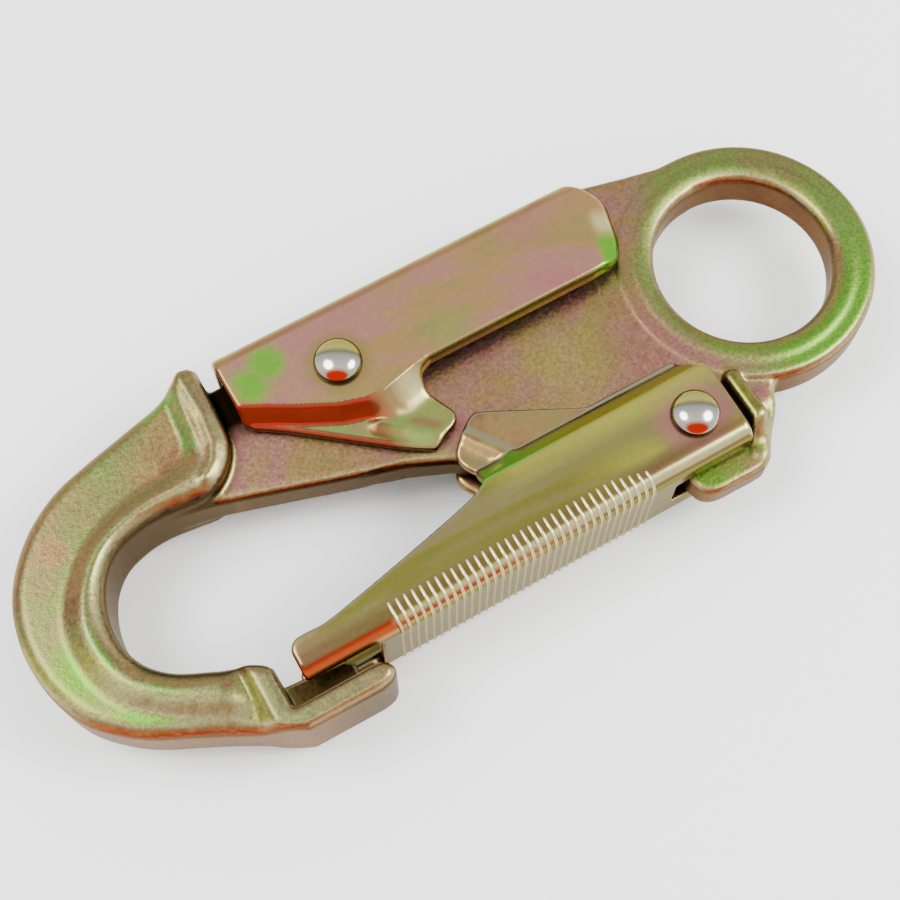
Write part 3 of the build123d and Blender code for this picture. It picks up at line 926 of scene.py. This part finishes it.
def gate_material():
    m = Nodes("stamped_zinc_gate")
    x, y, level, nz = m.place()
    streak = m.noise(70, 4, 0.55, (0.25, 1.5, 1.0), 0.8)
    cloud = m.noise(140, 3, 0.55, (0.6, 1.0, 1.0), 0.6)
    wall = m.ramp(streak, [
        (0.22, DUSK), (0.36, OLIVE), (0.50, MOSS), (0.62, YELLOW), (0.76, GREEN),
    ])
    heel = m.times(m.scaled(x, -0.042, -0.030), m.scaled(streak, 0.38, 0.50))
    wall = m.mix(m.times(heel, 0.7), wall, YELLOW)
    wall = m.mix(m.times(m.near(GATE_PIVOT, 4.0, 7.0), 0.75), wall, PINK)
    wall = m.mix(m.times(m.scaled(x, -0.0770, -0.0835), 0.5), wall, MAUVE)
    # painted highlight: the gate wall turns yellow towards its upper edge
    edge_highlight = m.times(m.scaled(y, -0.0165, -0.0135), m.scaled(x, -0.052, -0.046))
    wall = m.mix(m.times(edge_highlight, 0.75), wall, YELLOW)
    near_bend = m.times(m.scaled(y, -0.0205, -0.0222), 0.6)
    wall = m.mix(near_bend, wall, BROWN)
    ear = m.ramp(cloud, [(0.34, DUSK), (0.48, TAN), (0.62, OLIVE)])
    wall = m.mix(m.scaled(level, 0.0062, 0.0054), wall, ear)

    lean = m.side(UPHILL)
    nose_end = m.scaled(x, -0.040, -0.056)
    # colour of the bend by lean: the cream and yellow bands are painted highlights; the moss, tan,
    # red and orange stops are plating tints
    bend = m.mix(
        nose_end,
        lean_ramp(m, lean, [
            (-0.97, paint(108, 106, 60)), (-0.90, MOSS), (-0.80, BROWN), (-0.68, CREAM),
            (-0.30, CREAM), (-0.12, OLIVE),
        ]),
        m.mix(
            m.scaled(x, -0.0690, -0.0715),
            lean_ramp(m, lean, [
                (-0.97, paint(106, 103, 62)), (-0.91, MOSS), (-0.84, TAN), (-0.76, RED),
                (-0.66, ORANGE), (-0.50, CREAM), (-0.28, YELLOW), (-0.12, OLIVE),
            ]),
            lean_ramp(m, lean, [
                (-0.97, paint(98, 95, 60)), (-0.90, TAN), (-0.80, ORANGE),
                (-0.62, paint(204, 98, 56)), (-0.40, RED), (-0.16, BROWN),
            ]),
        ),
    )
    step = m.mix(m.scaled(x, -0.046, -0.036), paint(104, 160, 54), paint(154, 146, 56))
    on_step = m.times(m.scaled(lean, 0.08, 0.3), m.scaled(y, -0.0140, -0.0130))
    on_step = m.times(on_step, m.scaled(level, 0.0053, 0.0060))
    sloped = m.mix(m.scaled(y, -0.0200, -0.0218), TAN, bend)
    colour = m.mix(m.scaled(nz, 0.985, 0.93), wall, sloped)
    colour = m.mix(m.scaled(lean, 0.08, 0.3), colour, GREY)
    colour = m.mix(on_step, colour, step)
    m.link(m.math("SUBTRACT", 1.0, m.times(on_step, 0.4)), m.shader.inputs["Metallic"])
    # painted shade: the inside faces of the channel next to its base are painted near black
    inside = m.times(m.scaled(lean, 0.1, 0.4), m.scaled(y, -0.0215, -0.0225))
    colour = m.mix(inside, colour, SHADOW_BLACK)
    return grained(
        m, colour, lift=0.80, roughness=0.24, uneven=0.1, scale=1200,
        depth=0.05, strength=0.08, distance=0.00003,
    )


def lever_material():
    m = Nodes("stamped_zinc_lever")
    x, y, level, nz = m.place()
    streak = m.noise(80, 4, 0.6, (0.4, 1.2, 1.0), 1.0)
    cloud = m.noise(120, 3, 0.55, None, 0.8)
    arm = m.ramp(streak, [
        (0.30, PINK), (0.44, MAUVE), (0.56, TAN), (0.68, OLIVE), (0.82, GREEN),
    ])
    patch = m.larger(m.near((-72.4, 15.2), 1.6, 3.6), m.near((-68.6, 17.2), 1.6, 3.6))
    patch = m.times(patch, m.scaled(cloud, 0.38, 0.46))
    arm = m.mix(m.times(patch, 0.9), arm, LEAF)
    arm = m.mix(m.times(m.near((-44.0, 9.0), 1.0, 5.0), 0.5), arm, GREEN)
    arm = m.mix(m.times(m.near((-27.0, 18.5), 1.0, 5.5), 0.6), arm, PINK)
    arm = m.mix(m.times(m.near(LEVER_PIVOT, 3.6, 5.4), 0.6), arm, MOSS)
    lobe = m.ramp(cloud, [(0.38, TAN), (0.52, OLIVE), (0.68, GREEN)])
    lobe = m.mix(m.times(m.scaled(y, 0.0035, 0.0015), 0.25), lobe, LEAF)
    arm = m.mix(m.scaled(level, 0.0066, 0.0056), arm, lobe)

    lean = m.side(UPHILL)
    front = m.scaled(x, -0.0560, -0.0590)
    step = m.mix(front, lean_ramp(m, lean, [
        (-0.9, OLIVE), (-0.6, TAN), (-0.25, OLIVE), (-0.06, TAN),
    ]), lean_ramp(m, lean, [
        (-0.98, BROWN), (-0.94, RED), (-0.60, DEEP_RED), (-0.30, DEEP_RED), (-0.10, BROWN),
    ]))
    # painted highlight: a cream spot on the joggle slope by the notch
    step = m.mix(m.near((-52.6, 5.2), 0.8, 3.0), step, CREAM)
    rim = m.scaled(level, 0.0050, 0.0044)
    step = m.mix(rim, step, BROWN)
    red_part = m.times(front, m.scaled(lean, -0.16, -0.34))
    red_part = m.times(red_part, m.math("SUBTRACT", 1.0, rim))
    m.link(m.math("SUBTRACT", 1.0, m.times(red_part, 0.45)), m.shader.inputs["Metallic"])
    arm = m.mix(m.times(front, m.scaled(lean, -0.02, -0.08)), arm, BROWN)
    colour = m.mix(m.scaled(nz, 0.985, 0.93), arm, step)
    colour = m.mix(m.scaled(lean, 0.06, 0.25), colour, DUSK)
    back = m.ramp(streak, [(0.34, DUSK), (0.50, TAN), (0.66, MOSS)])
    colour = m.mix(m.scaled(y, 0.0195, 0.0210), colour, back)
    heel = m.times(m.scaled(x, -0.0225, -0.0195), m.scaled(nz, 0.99, 0.94))
    # painted highlight: a cream spot on the lever's sloping heel end; the leaf green lower down is
    # plating tint
    facet = m.mix(m.near((-16.2, 13.4), 0.8, 2.8), TAN, CREAM)
    colour = m.mix(heel, colour, m.mix(m.scaled(y, 0.0125, 0.0105), facet, LEAF))
    return grained(
        m, colour, lift=0.93, roughness=0.24, uneven=0.1, scale=1200,
        depth=0.07, strength=0.08, distance=0.00003,
    )


def rib_material():
    m = Nodes("stamped_zinc_ribs")
    lean = m.side((0.0, 1.0, 0.0))
    pale = paint(240, 232, 190)
    colour = lean_ramp(m, lean, [
        (-0.97, paint(150, 146, 108)), (-0.88, TAN), (-0.70, CREAM), (-0.45, pale), (0.2, pale),
    ])
    return grained(
        m, colour, lift=0.95, roughness=0.20, uneven=0.1, scale=1200,
        depth=0.04, strength=0.04, distance=0.00003,
    )


def rivet_material():
    m = Nodes("rivet_steel")
    # colour by facing direction paints reflections on the polished domes: the pale band and the
    # darker band above it are painted reflections
    lean = m.side((0.494, 0.869, 0.0))
    colour = lean_ramp(m, lean, [
        (-0.95, GREY), (-0.30, paint(214, 210, 196)), (0.02, paint(170, 172, 164)),
        (0.12, paint(128, 124, 98)), (0.24, paint(200, 192, 112)), (0.60, paint(166, 164, 90)),
        (0.95, SHADE),
    ])
    # painted reflection: a red patch on the lower front of each dome
    painted_red_reflection = m.scaled(m.side((-0.336, -0.591, 0.733)), 0.905, 0.955)
    colour = m.mix(painted_red_reflection, colour, paint(190, 50, 26))
    # painted shade: the steep rim of each dome is darkened to SHADE
    rim = m.scaled(m.flatness(), 0.55, 0.30)
    colour = m.mix(rim, colour, SHADE)
    return grained(
        m, colour, lift=0.85, roughness=0.14, uneven=0.05, scale=1500,
        depth=0.03, strength=0.03, distance=0.00002,
    )


def spring_material():
    m = Nodes("spring_steel")
    colour = m.ramp(m.noise(400, 3), [(0.3, (0.30, 0.29, 0.26)), (0.7, (0.38, 0.37, 0.34))])
    return grained(
        m, colour, lift=0.8, roughness=0.30, uneven=0.1, scale=1500,
        depth=0.05, strength=0.05, distance=0.00003,
    )


def dress(obj, material):
    obj.data.materials.clear()
    obj.data.materials.append(material)


dress(hook_body, forged_material())
dress(gate, gate_material())
dress(lever, lever_material())
dress(gate_ribs, rib_material())
rivet_steel = rivet_material()
for rivet in rivets:
    dress(rivet, rivet_steel)
spring_steel = spring_material()
for spring in springs:
    dress(spring, spring_steel)

# ------------------------------------------------------------------ floor, light and camera
FLOOR_Z = -0.0104
bpy.ops.mesh.primitive_plane_add(size=4.0, location=(-0.05, 0, FLOOR_Z))
floor = bpy.context.active_object
floor.name = "floor"
paper = Nodes("floor_paper")
paper.link(
    paper.ramp(paper.noise(8, 2), [(0.3, (0.95, 0.95, 0.95)), (0.7, (0.97, 0.97, 0.97))]),
    paper.shader.inputs["Base Color"],
)
paper.shader.inputs["Roughness"].default_value = 1.0
paper.shader.inputs["Specular IOR Level"].default_value = 0.0
dress(floor, paper.material)

world = bpy.data.worlds.new("studio")
bpy.context.scene.world = world
world.use_nodes = True
world.node_tree.nodes["Background"].inputs["Color"].default_value = (1, 1, 1, 1)
world.node_tree.nodes["Background"].inputs["Strength"].default_value = 1.7

TARGET = Vector((-51.3, -3.8, 0.0)) * MM


def soft_light(name, place, size, power):
    """Round soft box at a place measured from the target, aimed at it."""
    data = bpy.data.lights.new(name, "AREA")
    data.shape = "DISK"
    data.size = size
    data.energy = power
    obj = bpy.data.objects.new(name, data)
    bpy.context.scene.collection.objects.link(obj)
    obj.location = TARGET + Vector(place)
    obj.rotation_euler = (TARGET - obj.location).to_track_quat("-Z", "Y").to_euler()


soft_light("left_box", (-0.27, 0.145, 0.515), 0.30, 3.5)
soft_light("right_box", (0.35, -0.19, 0.447), 0.30, 4.0)

TURN = math.radians(29.6)
RISE = math.radians(68.57)
DISTANCE = 222.6
camera_data = bpy.data.cameras.new("camera")
camera_data.lens = 63.25
camera_data.sensor_width = 36.0
camera_data.clip_start = 0.01
camera = bpy.data.objects.new("camera", camera_data)
bpy.context.scene.collection.objects.link(camera)
camera.location = TARGET + DISTANCE * MM * Vector((
    -math.sin(TURN) * math.cos(RISE), -math.cos(TURN) * math.cos(RISE), math.sin(RISE),
))
camera.rotation_euler = (TARGET - camera.location).to_track_quat("-Z", "Y").to_euler()
bpy.context.scene.camera = camera
